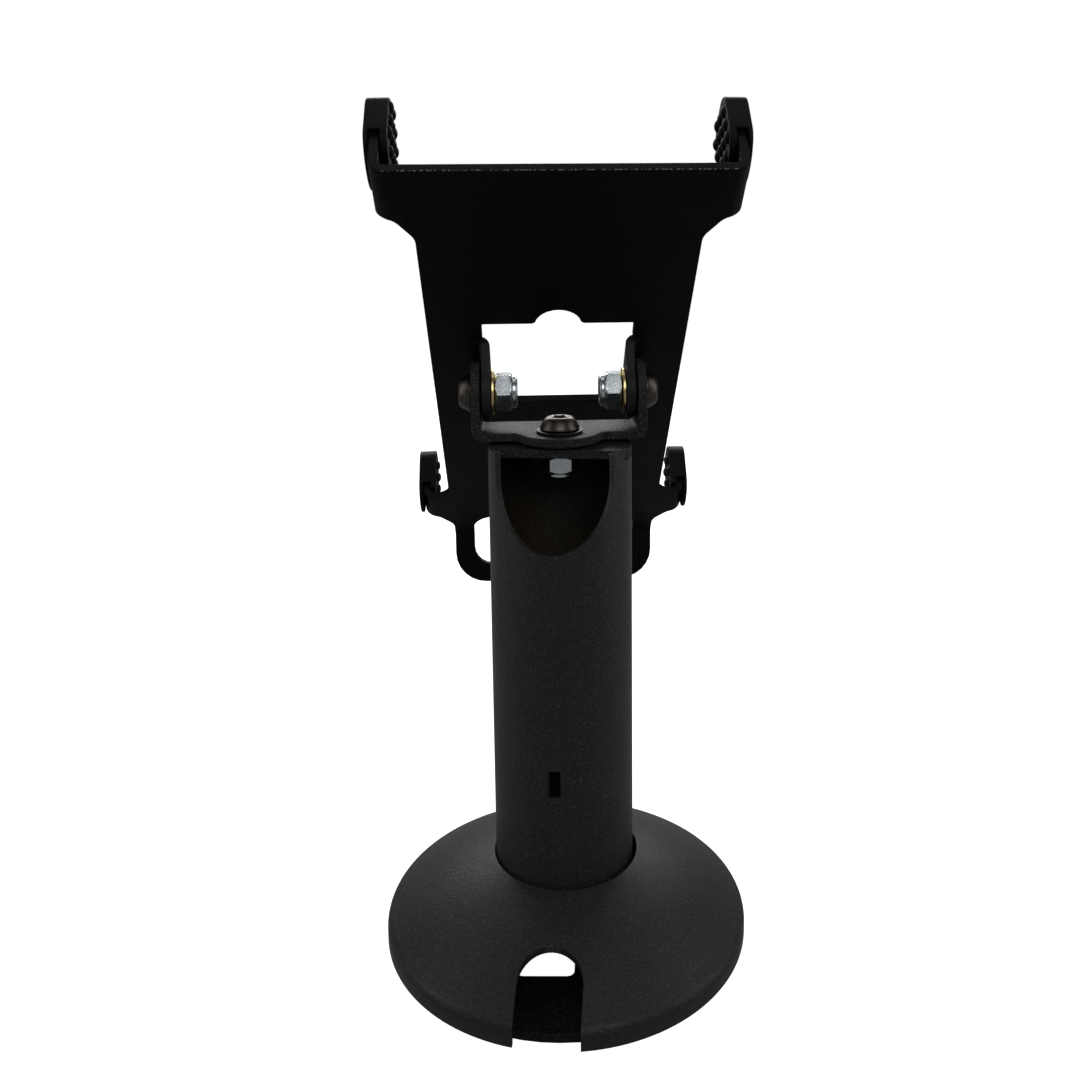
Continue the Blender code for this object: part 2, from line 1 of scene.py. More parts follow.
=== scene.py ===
"""A swivel-and-tilt pole stand for a payment terminal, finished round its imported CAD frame."""

import json
import math

import bmesh
import bpy
from mathutils import Matrix, Vector, geometry
from mathutils.bvhtree import BVHTree


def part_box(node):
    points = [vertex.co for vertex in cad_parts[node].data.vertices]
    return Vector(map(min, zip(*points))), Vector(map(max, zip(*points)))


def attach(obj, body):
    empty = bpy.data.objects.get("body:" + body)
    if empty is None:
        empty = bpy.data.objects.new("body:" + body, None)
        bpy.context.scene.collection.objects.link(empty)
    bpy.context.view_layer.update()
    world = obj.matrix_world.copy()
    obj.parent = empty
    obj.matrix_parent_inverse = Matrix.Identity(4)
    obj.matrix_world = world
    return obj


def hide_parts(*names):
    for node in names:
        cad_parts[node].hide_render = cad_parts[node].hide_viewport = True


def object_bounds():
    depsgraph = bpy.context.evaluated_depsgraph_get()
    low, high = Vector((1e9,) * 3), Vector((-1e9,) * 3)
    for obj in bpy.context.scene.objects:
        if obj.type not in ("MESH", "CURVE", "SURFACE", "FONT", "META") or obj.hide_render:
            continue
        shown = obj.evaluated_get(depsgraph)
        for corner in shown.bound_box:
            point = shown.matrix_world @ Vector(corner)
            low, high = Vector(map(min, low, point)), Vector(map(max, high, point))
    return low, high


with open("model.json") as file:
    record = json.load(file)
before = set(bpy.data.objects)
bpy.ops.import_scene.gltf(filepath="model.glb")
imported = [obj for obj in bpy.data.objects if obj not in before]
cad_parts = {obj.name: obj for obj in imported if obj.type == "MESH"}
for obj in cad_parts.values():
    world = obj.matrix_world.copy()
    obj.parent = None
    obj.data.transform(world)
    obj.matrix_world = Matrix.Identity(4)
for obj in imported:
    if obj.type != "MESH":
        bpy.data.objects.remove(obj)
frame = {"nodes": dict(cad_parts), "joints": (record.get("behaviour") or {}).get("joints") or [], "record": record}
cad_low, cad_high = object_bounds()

MM = 0.001

# Hardware, in millimetres
THREAD_PITCH = 1.25
THREAD_TOP_R = 4.0
THREAD_ROOT_R = 3.35
HEAD_H = 4.3
HEAD_R = 7.0
HEAD_CROWN_R = 3.9
HEAD_EDGE = 0.5
SOCKET_AF = 5.0
SOCKET_DEPTH = 2.6
NUT_AF = 13.0
NUT_H = 8.0
NUT_HEX_H = 6.2
NUT_UNDER_CHAMFER = 0.95
NUT_TOP_CHAMFER = 1.15
COLLAR_R = 5.9
COLLAR_MOUTH_R = 4.5
BORE_R = 4.1
SHANK_EASE = 0.7

# Rounded edges, in millimetres
BEVEL_FROM = math.radians(35)
TUBE_ROUND = 0.22
CAP_ROUND = 0.25
WELD_ROUND = 0.3
CRADLE_ROUND = 0.35
GRIP_ROUND = 0.35
YOKE_ROUND = 0.4
PLATE_ROUND = 0.4

# The tube's wall and the seam inside it, in millimetres
TUBE_WALL = 2.0
SEAM_AT = math.radians(201)
SEAM_HALF_W = 0.75
SEAM_HALF_H = 0.42
SEAM_SUNK = 0.15
SEAM_STEPS = 90
SEAM_SIDES = 8

# Base cover, in millimetres
COVER_WALL = 2.0
COVER_HOLE_R = 26.3
COVER_TURN = -8.0
SHOULDER_UP = 4.3
SHOULDER_R = 4.2
SHOULDER_SWEEP = 66
SHOULDER_STEPS = 8
CROWN_STEPS = 24
RIM_EASE = 0.3
CROWN_BULGE = 0.08
NOTCH_HALF_W = 10.95
NOTCH_ARCH_Y = -53.3
NOTCH_ARCH_DEPTH = 9.0
NOTCH_STEPS = 24
NOTCH_REACH = 5

# Grip nubs, in millimetres
NUB_R = 2.1
NUB_H = 1.25
NUB_PITCH = 6.0
NUB_ROW = 5.2
NUB_MARGIN = 2.5
MOST_NUBS_IN_ROW = 12

# Tones laid on a coat: a painted glint on its facets, and dust
PAINTED_GLINT_TONE = (0.1, 0.1, 0.104, 1)
COAT_DUST = (0.35, 0.35, 0.34, 1)
MOULDED_DUST = (0.3, 0.3, 0.3, 1)

# Camera: its place in metres, its turn in degrees, its lens in millimetres
CAMERA_AT = (-0.01134, -0.36041, 0.26003)
CAMERA_TURN = (3.2016, 7.9918, -0.484)
CAMERA_LENS = 34.666
CAMERA_SHIFT = (-0.0408, -0.1623)

# Room: what the floor and the surround show and give, and each softbox's place, size and power
FLOOR_GLOW = 0.98
SURROUND_LIGHT = 0.06
SOFTBOXES = {
    "left_softbox": ((-0.85, -0.1, 0.45), (0.4, 0.7), 1.5),
    "right_softbox": ((0.85, -0.1, 0.45), (0.4, 0.7), 1.7),
    "far_softbox": ((0.0, 1.1, 0.8), (1.6, 0.4), 13),
    "top_softbox": ((0.0, 0.15, 1.0), (0.8, 0.5), 0.95),
    "near_softbox": ((0.1, -1.0, 0.85), (0.8, 0.6), 3.8),
}

BODIES = frame["record"]["behaviour"]["bodies"]
NODE_BODY = {node: body for body, nodes in BODIES.items() for node in nodes}
JOINTS = {joint["name"]: joint for joint in frame["joints"]}
MOUNTS = {mount["name"]: mount for mount in frame["record"]["mounts"]}

# The cradle's own frame: across, out of its front, and up the sheet
PIVOT = Vector(JOINTS["tilt"]["pos_m"])
FRONT = Vector(MOUNTS["cradle_face"]["axis"]).normalized()
ACROSS = Vector((1, 0, 0))
UP_SHEET = ACROSS.cross(FRONT)
CRADLE_PLACE = Matrix((ACROSS, FRONT, UP_SHEET)).transposed().to_4x4()
CRADLE_PLACE.translation = PIVOT
INTO_CRADLE = CRADLE_PLACE.inverted()
MOUNT_DEPTH = (INTO_CRADLE @ Vector(MOUNTS["cradle_face"]["pos_m"])).y
SHEET_T = 3.1 * MM


def in_scene(name, data):
    """A new object that holds this data, linked to the scene."""
    made = bpy.data.objects.new(name, data)
    bpy.context.scene.collection.objects.link(made)
    return made


# ---------------------------------------------------------------- node trees


def add(tree, kind, inputs=None, **settings):
    """A node with its settings made and its inputs, by name or number, set or linked."""
    made = tree.nodes.new(kind)
    for name, value in settings.items():
        setattr(made, name, value)
    for key, value in (inputs or {}).items():
        if isinstance(value, bpy.types.NodeSocket):
            tree.links.new(value, made.inputs[key])
        else:
            made.inputs[key].default_value = value
    return made


def maths(tree, operation, a, b, c=None):
    inputs = {0: a, 1: b}
    if c is not None:
        inputs[2] = c
    return add(tree, "ShaderNodeMath", inputs, operation=operation).outputs[0]


def blend_colors(tree, factor, first, second):
    mix = add(tree, "ShaderNodeMix", {0: factor, 6: first, 7: second}, data_type="RGBA")
    return mix.outputs[2]


def ramp(tree, value, low, high):
    """0 below low, 1 above high, and smooth between."""
    inputs = {0: value, 1: low, 2: high, 3: 0.0, 4: 1.0}
    made = add(tree, "ShaderNodeMapRange", inputs, interpolation_type="SMOOTHSTEP")
    return made.outputs[0]


def new_group(name, kind, inputs, outputs):
    """A node group with named sockets, and its input and output nodes."""
    tree = bpy.data.node_groups.new(name, kind)
    for label, socket, value in inputs:
        made = tree.interface.new_socket(label, in_out="INPUT", socket_type=socket)
        if value is not None:
            made.default_value = value
    for label, socket in outputs:
        tree.interface.new_socket(label, in_out="OUTPUT", socket_type=socket)
    return tree, tree.nodes.new("NodeGroupInput"), tree.nodes.new("NodeGroupOutput")


def powder_grain_group():
    """Cured powder: a fine pebbled height, a tone that drifts, and a mask of facets where coats paint glints."""
    inputs = [("Pebble", "NodeSocketFloat", 0.0008), ("Drift", "NodeSocketFloat", 0.02)]
    outputs = [
        ("Height", "NodeSocketFloat"),
        ("Tone", "NodeSocketFloat"),
        ("Glint", "NodeSocketFloat"),
    ]
    tree, given, out = new_group("powder_grain", "ShaderNodeTree", inputs, outputs)
    place = add(tree, "ShaderNodeTexCoord").outputs["Object"]
    scale = maths(tree, "DIVIDE", 1.0, given.outputs["Pebble"])
    pebbles = add(tree, "ShaderNodeTexVoronoi", {"Vector": place, "Scale": scale})
    fine = add(tree, "ShaderNodeTexNoise", {"Vector": place, "Scale": scale, "Detail": 3.0})
    lumps = maths(tree, "MULTIPLY", pebbles.outputs["Distance"], -0.7)
    tree.links.new(maths(tree, "ADD", lumps, fine.outputs["Fac"]), out.inputs["Height"])
    slow = maths(tree, "DIVIDE", 1.0, given.outputs["Drift"])
    drift = add(tree, "ShaderNodeTexNoise", {"Vector": place, "Scale": slow, "Detail": 2.0})
    tree.links.new(drift.outputs["Fac"], out.inputs["Tone"])
    tiny = maths(tree, "MULTIPLY", scale, 1.9)
    facet_glints = add(tree, "ShaderNodeTexNoise", {"Vector": place, "Scale": tiny, "Detail": 1.0})
    tree.links.new(ramp(tree, facet_glints.outputs["Fac"], 0.57, 0.72), out.inputs["Glint"])
    return tree


def specks_group():
    """Stray specks of dust: small dots, sparse, more of them where the noise is high."""
    inputs = [("Spacing", "NodeSocketFloat", 0.006), ("Size", "NodeSocketFloat", 0.03)]
    outputs = [("Mask", "NodeSocketFloat")]
    tree, given, out = new_group("dust_specks", "ShaderNodeTree", inputs, outputs)
    place = add(tree, "ShaderNodeTexCoord").outputs["Object"]
    scale = maths(tree, "DIVIDE", 1.0, given.outputs["Spacing"])
    cells = add(tree, "ShaderNodeTexVoronoi", {"Vector": place, "Scale": scale})
    dots = maths(tree, "LESS_THAN", cells.outputs["Distance"], given.outputs["Size"])
    patches = add(tree, "ShaderNodeTexNoise", {"Vector": place, "Scale": 22.0, "Detail": 2.0})
    where = ramp(tree, patches.outputs["Fac"], 0.5, 0.6)
    tree.links.new(maths(tree, "MULTIPLY", dots, where), out.inputs["Mask"])
    return tree


def plating_group():
    """Plated or oxidised steel: clouds in its polish and fine scuffs along its height."""
    inputs = [("Cloud", "NodeSocketFloat", 0.003), ("Scuff", "NodeSocketFloat", 0.0005)]
    outputs = [("Cloudy", "NodeSocketFloat"), ("Height", "NodeSocketFloat")]
    tree, given, out = new_group("plating", "ShaderNodeTree", inputs, outputs)
    place = add(tree, "ShaderNodeTexCoord").outputs["Object"]
    slow = maths(tree, "DIVIDE", 1.0, given.outputs["Cloud"])
    clouds = add(tree, "ShaderNodeTexNoise", {"Vector": place, "Scale": slow, "Detail": 4.0})
    tree.links.new(clouds.outputs["Fac"], out.inputs["Cloudy"])
    fast = maths(tree, "DIVIDE", 1.0, given.outputs["Scuff"])
    scuffs = add(tree, "ShaderNodeTexNoise", {"Vector": place, "Scale": fast, "Detail": 2.0})
    tree.links.new(scuffs.outputs["Fac"], out.inputs["Height"])
    return tree


POWDER_GRAIN = powder_grain_group()
DUST_SPECKS = specks_group()
PLATING = plating_group()


def new_material(name, **fixed):
    """A material, its tree and its shader, with the shader's constant sockets set."""
    made = bpy.data.materials.new(name)
    made.use_nodes = True
    tree = made.node_tree
    shader = tree.nodes["Principled BSDF"]
    for label, value in fixed.items():
        shader.inputs[label.replace("_", " ")].default_value = value
    return made, tree, shader


def placed_group(tree, group, **values):
    """A shader group's outputs, placed in a material with its own values."""
    made = tree.nodes.new("ShaderNodeGroup")
    made.node_tree = group
    for label, value in values.items():
        made.inputs[label].default_value = value
    return made.outputs


def bump(tree, shader, height, strength, depth_mm):
    inputs = {"Strength": strength, "Distance": depth_mm * MM, "Height": height}
    tree.links.new(add(tree, "ShaderNodeBump", inputs).outputs[0], shader.inputs["Normal"])


def powder_coat(
    name,
    dark,
    light,
    roughness,
    pebble_mm=0.7,
    depth_mm=0.18,
    specular=0.4,
    painted_glint=0.6,
    patches=(),
):
    """Black powder coat between two tones. A patch is (mask maker, color), laid where the mask is; here most are
    painted light.
    """
    made, tree, shader = new_material(name, Specular_IOR_Level=specular)
    grain = placed_group(tree, POWDER_GRAIN, Pebble=pebble_mm * MM)
    dust = placed_group(tree, DUST_SPECKS)
    color = blend_colors(tree, grain["Tone"], (*dark, 1), (*light, 1))
    for make_mask, tint in patches:
        color = blend_colors(tree, make_mask(tree), color, (*tint, 1))
    # Painted glints: where the facets are, the colour is lightened towards a grey that stands in for light off
    # them; their lower roughness is real.
    facet_glints = maths(tree, "MULTIPLY", grain["Glint"], painted_glint)
    color = blend_colors(tree, facet_glints, color, PAINTED_GLINT_TONE)
    specks = maths(tree, "MULTIPLY", dust["Mask"], 0.2)
    color = blend_colors(tree, specks, color, COAT_DUST)
    tree.links.new(color, shader.inputs["Base Color"])
    matte = maths(tree, "MULTIPLY_ADD", grain["Tone"], 0.16, roughness - 0.08)
    rough = maths(tree, "MULTIPLY_ADD", grain["Glint"], -0.2, matte)
    tree.links.new(rough, shader.inputs["Roughness"])
    bump(tree, shader, grain["Height"], 0.7, depth_mm)
    return made


def plated_steel(name, color, tint, roughness, spread=0.2, scuff=0.25):
    """Steel with a plated or oxidised skin that clouds between two tones."""
    made, tree, shader = new_material(name, Metallic=1.0)
    plating = placed_group(tree, PLATING)
    mixed = blend_colors(tree, plating["Cloudy"], (*color, 1), (*tint, 1))
    tree.links.new(mixed, shader.inputs["Base Color"])
    rough = maths(tree, "MULTIPLY_ADD", plating["Cloudy"], spread, roughness - spread / 2)
    tree.links.new(rough, shader.inputs["Roughness"])
    bump(tree, shader, plating["Height"], scuff, 0.03)
    return made


def moulded(name, color, light, roughness, pebble_mm, depth_mm, specular=0.35):
    """Rubber or nylon: a matte skin with a fine mould texture and a little dust."""
    made, tree, shader = new_material(name, Specular_IOR_Level=specular)
    grain = placed_group(tree, POWDER_GRAIN, Pebble=pebble_mm * MM, Drift=0.008)
    dust = placed_group(tree, DUST_SPECKS, Spacing=0.004, Size=0.025)
    tone = blend_colors(tree, grain["Tone"], (*color, 1), (*light, 1))
    specks = maths(tree, "MULTIPLY", dust["Mask"], 0.3)
    tone = blend_colors(tree, specks, tone, MOULDED_DUST)
    tree.links.new(tone, shader.inputs["Base Color"])
    rough = maths(tree, "MULTIPLY_ADD", grain["Tone"], 0.15, roughness - 0.07)
    tree.links.new(rough, shader.inputs["Roughness"])
    bump(tree, shader, grain["Height"], 0.4, depth_mm)
    return made


def vector_maths(tree, operation, a, b=None):
    inputs = {0: a} if b is None else {0: a, 1: b}
    return add(tree, "ShaderNodeVectorMath", inputs, operation=operation).outputs


def from_axle(tree, direction):
    """How far a point of the cradle is from the tilt axle in a direction."""
    place = add(tree, "ShaderNodeTexCoord").outputs["Object"]
    shifted = vector_maths(tree, "SUBTRACT", place, PIVOT)[0]
    return vector_maths(tree, "DOT_PRODUCT", shifted, direction)["Value"]


def painted_light_inside_tube(tree):
    """1 on the tube's inner wall, where a warm painted light from below is laid."""
    place = add(tree, "ShaderNodeTexCoord").outputs["Object"]
    flat = vector_maths(tree, "MULTIPLY", place, (1, 1, 0))[0]
    away = vector_maths(tree, "LENGTH", flat)["Value"]
    low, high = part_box("pole_tube")
    middle_r = (high.x - low.x) / 2 - TUBE_WALL / 2 * MM
    return maths(tree, "LESS_THAN", away, middle_r)


def painted_light_on_tabs(tree):
    """1 on the tabs that stand behind the cradle's back, painted lighter than the shaded sheet: painted light."""
    back = MOUNT_DEPTH - SHEET_T
    behind = maths(tree, "LESS_THAN", from_axle(tree, FRONT), back - 0.4 * MM)
    near_axle = maths(tree, "COMPARE", from_axle(tree, UP_SHEET), 0.0, 25 * MM)
    return maths(tree, "MULTIPLY", behind, near_axle)


def top_edge_wear_and_painted_highlight(tree):
    """Where a pale broken line runs along the back corner of the cradle's top edge: worn coat and a painted
    highlight.
    """
    place = add(tree, "ShaderNodeTexCoord").outputs["Object"]
    corners = frame["nodes"]["cradle_plate"].data.vertices
    top = max((INTO_CRADLE @ corner.co).z for corner in corners)
    near_top = ramp(tree, from_axle(tree, UP_SHEET), top - 0.32 * MM, top - 0.12 * MM)
    back = MOUNT_DEPTH - SHEET_T
    near_back = ramp(tree, from_axle(tree, FRONT), back + 0.4 * MM, back + 0.2 * MM)
    noise_inputs = {"Vector": place, "Scale": 900.0, "Detail": 2.0}
    noise = add(tree, "ShaderNodeTexNoise", noise_inputs).outputs["Fac"]
    broken = ramp(tree, noise, 0.44, 0.6)
    corner = maths(tree, "MULTIPLY", near_top, near_back)
    return maths(tree, "MULTIPLY", maths(tree, "MULTIPLY", corner, broken), 0.8)


# ---------------------------------------------------------------- mesh helpers


def piece(name, mesh, finish, like, replaces=True):
    """Puts a finished mesh in the scene on the body of the CAD node it is like."""
    made = in_scene(name, mesh)
    mesh.materials.clear()
    mesh.materials.append(finish)
    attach(made, NODE_BODY[like])
    if replaces:
        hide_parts(like)
    return made


def merged(node):
    """A CAD node's mesh with its triangles joined up and its flat faces made whole."""
    bm = bmesh.new()
    bm.from_mesh(frame["nodes"][node].data)
    bmesh.ops.remove_doubles(bm, verts=bm.verts, dist=0.003 * MM)
    bmesh.ops.dissolve_limit(bm, angle_limit=math.radians(0.5), verts=bm.verts, edges=bm.edges)
    return bm


def baked(obj):
    """The object's evaluated shape as a plain mesh. The object itself is removed."""
    evaluated = obj.evaluated_get(bpy.context.evaluated_depsgraph_get())
    mesh = bpy.data.meshes.new_from_object(evaluated)
    bpy.data.objects.remove(obj, do_unlink=True)
    return mesh


def smoothed_round_axis(mesh, axis):
    """Gives the tube's walls the normals of a true cylinder about an upright axis."""
    normals = [Vector(n.vector) for n in mesh.corner_normals]
    on_wall = set()
    for face in mesh.polygons:
        out = (face.center - axis).to_2d().normalized()
        if abs(face.normal.to_2d().dot(out)) > 0.97:
            on_wall.update(face.vertices)
    for face in mesh.polygons:
        facing = face.normal.to_2d().dot((face.center - axis).to_2d().normalized())
        if abs(facing) < 0.8:
            continue
        for loop in face.loop_indices:
            vertex = mesh.loops[loop].vertex_index
            if vertex in on_wall:
                out = (mesh.vertices[vertex].co - axis).to_2d().normalized()
                normals[loop] = out.to_3d() * (1 if facing > 0 else -1)
    mesh.normals_split_custom_set(normals)


def softened(node, round_mm):
    """A CAD node's mesh with its sharp edges rounded over."""
    bm = merged(node)
    mesh = bpy.data.meshes.new("soft")
    bm.to_mesh(mesh)
    bm.free()
    mesh.shade_smooth()
    made = in_scene("soft", mesh)
    rounding = made.modifiers.new("rounded_edges", "BEVEL")
    rounding.width = round_mm * MM
    rounding.segments = 2
    rounding.limit_method = "ANGLE"
    rounding.angle_limit = BEVEL_FROM
    rounding.use_clamp_overlap = False
    flats = made.modifiers.new("flats_lead", "WEIGHTED_NORMAL")
    flats.keep_sharp = True
    mesh = baked(made)
    source = frame["nodes"][node].data
    points = [vertex.co for vertex in source.vertices]
    faces = [list(face.vertices) for face in source.polygons]
    surface = BVHTree.FromPolygons(points, faces)
    for vertex in mesh.vertices:  # a point that the rounding throws off goes back to the surface
        near, _, _, away = surface.find_nearest(vertex.co)
        if away > round_mm * MM:
            vertex.co = near
    return mesh


def outward_axle(node, direction):
    """A place whose +Z is direction, with its origin on the middle of the node's end that way."""
    low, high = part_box(node)
    direction = Vector(direction)
    middle = (low + high) / 2
    reach = abs((high - low).dot(direction)) / 2
    place = direction.to_track_quat("Z", "Y").to_matrix().to_4x4()
    place.translation = middle + direction * reach
    return place


def ringed(levels, steps):
    """A closed surface through rings of (z, radius) or (z, radius, across flats), in mm."""
    bm = bmesh.new()
    rings = []
    for z, radius, *flats in levels:
        ring = []
        for i in range(steps):
            angle = 2 * math.pi * i / steps
            r = radius
            if flats:
                past_corner = angle % math.radians(60) - math.radians(30)
                r = min(radius, flats[0] / 2 / math.cos(past_corner))
            ring.append(bm.verts.new((r * math.cos(angle) * MM, r * math.sin(angle) * MM, z * MM)))
        rings.append(ring)
    closed = levels[0][1] > 0 and levels[-1][1] > 0
    pairs = list(zip(rings, rings[1:]))
    if closed:
        pairs.append((rings[-1], rings[0]))
    for one, two in pairs:
        for i in range(steps):
            k = (i + 1) % steps
            bm.faces.new((one[i], one[k], two[k], two[i]))
    bmesh.ops.remove_doubles(bm, verts=bm.verts, dist=0.001 * MM)
    bmesh.ops.recalc_face_normals(bm, faces=bm.faces)
    return bm


def placed_mesh(name, bm, place, sharp=38):
    """A mesh moved to its place, smooth but for edges sharper than sharp degrees."""
    bm.transform(place)
    mesh = bpy.data.meshes.new(name)
    bm.to_mesh(mesh)
    bm.free()
    mesh.shade_smooth()
    mesh.set_sharp_from_angle(angle=math.radians(sharp))
    return mesh


def arc_levels(z, r, size, start, end, steps):
    """Levels along a quarter-round of a turned profile, from start to end in degrees."""
    levels = []
    for i in range(steps + 1):
        a = math.radians(start + (end - start) * i / steps)
        levels.append((z + size * math.sin(a), r + size * math.cos(a)))
    return levels


# ---------------------------------------------------------------- geometry-node details


def thread_tree():
    """A helical ridge down from z = 0, as wide as its pitch."""
    inputs = [
        ("Geometry", "NodeSocketGeometry", None),
        ("Radius", "NodeSocketFloat", 0.0036),
        ("Turns", "NodeSocketFloat", 10.0),
        ("Length", "NodeSocketFloat", 0.02),
        ("Ridge", "NodeSocketFloat", 0.0006),
        ("Finish", "NodeSocketMaterial", None),
    ]
    outputs = [("Geometry", "NodeSocketGeometry")]
    tree, given, out = new_group("screw_thread", "GeometryNodeTree", inputs, outputs)
    helix_inputs = {
        "Resolution": 24,
        "Rotations": given.outputs["Turns"],
        "Start Radius": given.outputs["Radius"],
        "End Radius": given.outputs["Radius"],
        "Height": given.outputs["Length"],
    }
    helix = add(tree, "GeometryNodeCurveSpiral", helix_inputs)
    upright = add(tree, "GeometryNodeSetCurveNormal", {"Curve": helix.outputs[0]}, mode="Z_UP")
    ridge_inputs = {"Resolution": 4, "Radius": given.outputs["Ridge"]}
    ridge = add(tree, "GeometryNodeCurvePrimitiveCircle", ridge_inputs)
    swept_inputs = {
        "Curve": upright.outputs[0],
        "Profile Curve": ridge.outputs[0],
        "Fill Caps": True,
    }
    swept = add(tree, "GeometryNodeCurveToMesh", swept_inputs)
    lowered = add(tree, "GeometryNodeTransform", {"Geometry": swept.outputs[0]})
    fall = maths(tree, "MULTIPLY", given.outputs["Length"], -1.0)
    drop = add(tree, "ShaderNodeCombineXYZ", {2: fall})
    tree.links.new(drop.outputs[0], lowered.inputs["Translation"])
    real = add(tree, "GeometryNodeRealizeInstances", {0: lowered.outputs[0]})
    finish_inputs = {"Geometry": real.outputs[0], "Material": given.outputs["Finish"]}
    finished = add(tree, "GeometryNodeSetMaterial", finish_inputs)
    tree.links.new(finished.outputs[0], out.inputs[0])
    return tree


def nub_tree():
    """A low dome on each point of a flat pattern."""
    inputs = [
        ("Geometry", "NodeSocketGeometry", None),
        ("Radius", "NodeSocketFloat", 0.002),
        ("Height", "NodeSocketFloat", 0.001),
        ("Finish", "NodeSocketMaterial", None),
    ]
    outputs = [("Geometry", "NodeSocketGeometry")]
    tree, given, out = new_group("grip_nubs", "GeometryNodeTree", inputs, outputs)
    ball_inputs = {"Segments": 18, "Rings": 12, "Radius": given.outputs["Radius"]}
    ball = add(tree, "GeometryNodeMeshUVSphere", ball_inputs)
    flatness = maths(tree, "DIVIDE", given.outputs["Height"], given.outputs["Radius"])
    flat = add(tree, "ShaderNodeCombineXYZ", {0: 1.0, 1: 1.0, 2: flatness})
    dome_inputs = {"Geometry": ball.outputs[0], "Scale": flat.outputs[0]}
    dome = add(tree, "GeometryNodeTransform", dome_inputs)
    points = add(tree, "GeometryNodeMeshToPoints", {"Mesh": given.outputs["Geometry"]})
    spread_inputs = {"Points": points.outputs[0], "Instance": dome.outputs[0]}
    spread = add(tree, "GeometryNodeInstanceOnPoints", spread_inputs)
    real = add(tree, "GeometryNodeRealizeInstances", {0: spread.outputs[0]})
    smooth = add(tree, "GeometryNodeSetShadeSmooth", {"Geometry": real.outputs[0]})
    finish_inputs = {"Geometry": smooth.outputs[0], "Material": given.outputs["Finish"]}
    finished = add(tree, "GeometryNodeSetMaterial", finish_inputs)
    tree.links.new(finished.outputs[0], out.inputs[0])
    return tree


def grown(tree, start, values):
    """The plain mesh that a geometry tree makes from a start mesh."""
    host = in_scene("host", start)
    growth = host.modifiers.new("growth", "NODES")
    growth.node_group = tree
    for item in tree.interface.items_tree:
        if item.in_out == "INPUT" and item.name in values:
            growth[item.identifier] = values[item.name]
    mesh = baked(host)
    bm = bmesh.new()
    bm.from_mesh(mesh)
    bmesh.ops.recalc_face_normals(bm, faces=bm.faces)
    bpy.data.meshes.remove(mesh)
    return bm


# ---------------------------------------------------------------- hardware


def button_screw(node, direction):
    """A domed head with a hex socket, over a threaded shank."""
    place = outward_axle(node, direction)
    low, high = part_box(node)
    length = abs((high - low).dot(Vector(direction))) / MM
    bottom = -HEAD_H
    crown_r = SOCKET_AF / math.sqrt(3) + 0.25
    levels = [(-SOCKET_DEPTH - 0.9, 0), (-SOCKET_DEPTH, SOCKET_AF / 2 - 0.2)]
    levels += [(-SOCKET_DEPTH, SOCKET_AF, SOCKET_AF), (-0.25, SOCKET_AF, SOCKET_AF)]
    levels.append((0, crown_r))
    for i in range(13):
        t = 1 - i / 12
        rise = (HEAD_H - HEAD_EDGE) * math.sin(math.radians(90 * t)) ** 0.9
        levels.append((bottom + HEAD_EDGE + rise, HEAD_R + (HEAD_CROWN_R - HEAD_R) * t))
    levels += [(bottom + 0.2, HEAD_R), (bottom, HEAD_R - 0.2)]
    levels += [(bottom, THREAD_ROOT_R + 0.5), (bottom - 0.5, THREAD_ROOT_R)]
    levels += [(SHANK_EASE - length, THREAD_ROOT_R), (-length, THREAD_ROOT_R - 0.6)]
    levels.append((-length, 0))
    head = placed_mesh(node + "_body", ringed(levels, 72), place, 30)
    piece(node + "_body", head, BLACK_OXIDE, node)
    run = length - HEAD_H - 1.2
    ridge = (THREAD_TOP_R - THREAD_ROOT_R + 0.1) * MM
    values = {
        "Radius": THREAD_TOP_R * MM - ridge,
        "Turns": run / THREAD_PITCH,
        "Length": run * MM,
        "Ridge": ridge,
        "Finish": BLACK_OXIDE,
    }
    thread = grown(THREAD, bpy.data.meshes.new("thread_start"), values)
    thread.transform(Matrix.Translation((0, 0, (bottom - SHANK_EASE) * MM)))
    mesh = placed_mesh(node + "_thread", thread, place)
    piece(node + "_thread", mesh, BLACK_OXIDE, node, False)


def lock_nut(node, direction):
    """A lock nut with its collar's end outermost, and the nylon ring in its collar."""
    place = outward_axle(node, direction)
    corner = NUT_AF / math.sqrt(3)
    under = -NUT_H
    hex_top = NUT_HEX_H - NUT_H
    under_r = NUT_AF / 2 * 0.955
    top_r = NUT_AF / 2 * 0.94
    levels = [(under, BORE_R + 0.5)]
    for i in range(7):
        t = i / 6
        levels.append((under + NUT_UNDER_CHAMFER * t, under_r + (corner - under_r) * t, NUT_AF))
    for i in range(7):
        t = 1 - i / 6
        levels.append((hex_top - NUT_TOP_CHAMFER * t, top_r + (corner - top_r) * t, NUT_AF))
    levels += arc_levels(hex_top + 0.2, COLLAR_R + 0.25, 0.2, 270, 190, 3)
    levels.append((-1.1, COLLAR_R))
    levels += arc_levels(-1.0, COLLAR_R - 1.0, 1.0, 0, 90, 8)
    levels += [(-0.25, COLLAR_MOUTH_R), (hex_top + 0.15, COLLAR_MOUTH_R)]
    levels += [(hex_top + 0.15, BORE_R), (under + 0.5, BORE_R)]
    mesh = placed_mesh(node + "_body", ringed(levels, 96), place, 24)
    piece(node + "_body", mesh, BRIGHT_ZINC, node)
    insert = node + "_insert"
    deep = NUT_H - NUT_HEX_H - 0.3
    ring = [(-0.35, THREAD_TOP_R + 0.1), (-0.35, COLLAR_MOUTH_R - 0.1)]
    ring += [(-deep, COLLAR_MOUTH_R - 0.1), (-deep, THREAD_TOP_R + 0.1)]
    mesh = placed_mesh(insert + "_ring", ringed(ring, 72), place)
    piece(insert + "_ring", mesh, WHITE_NYLON, insert)


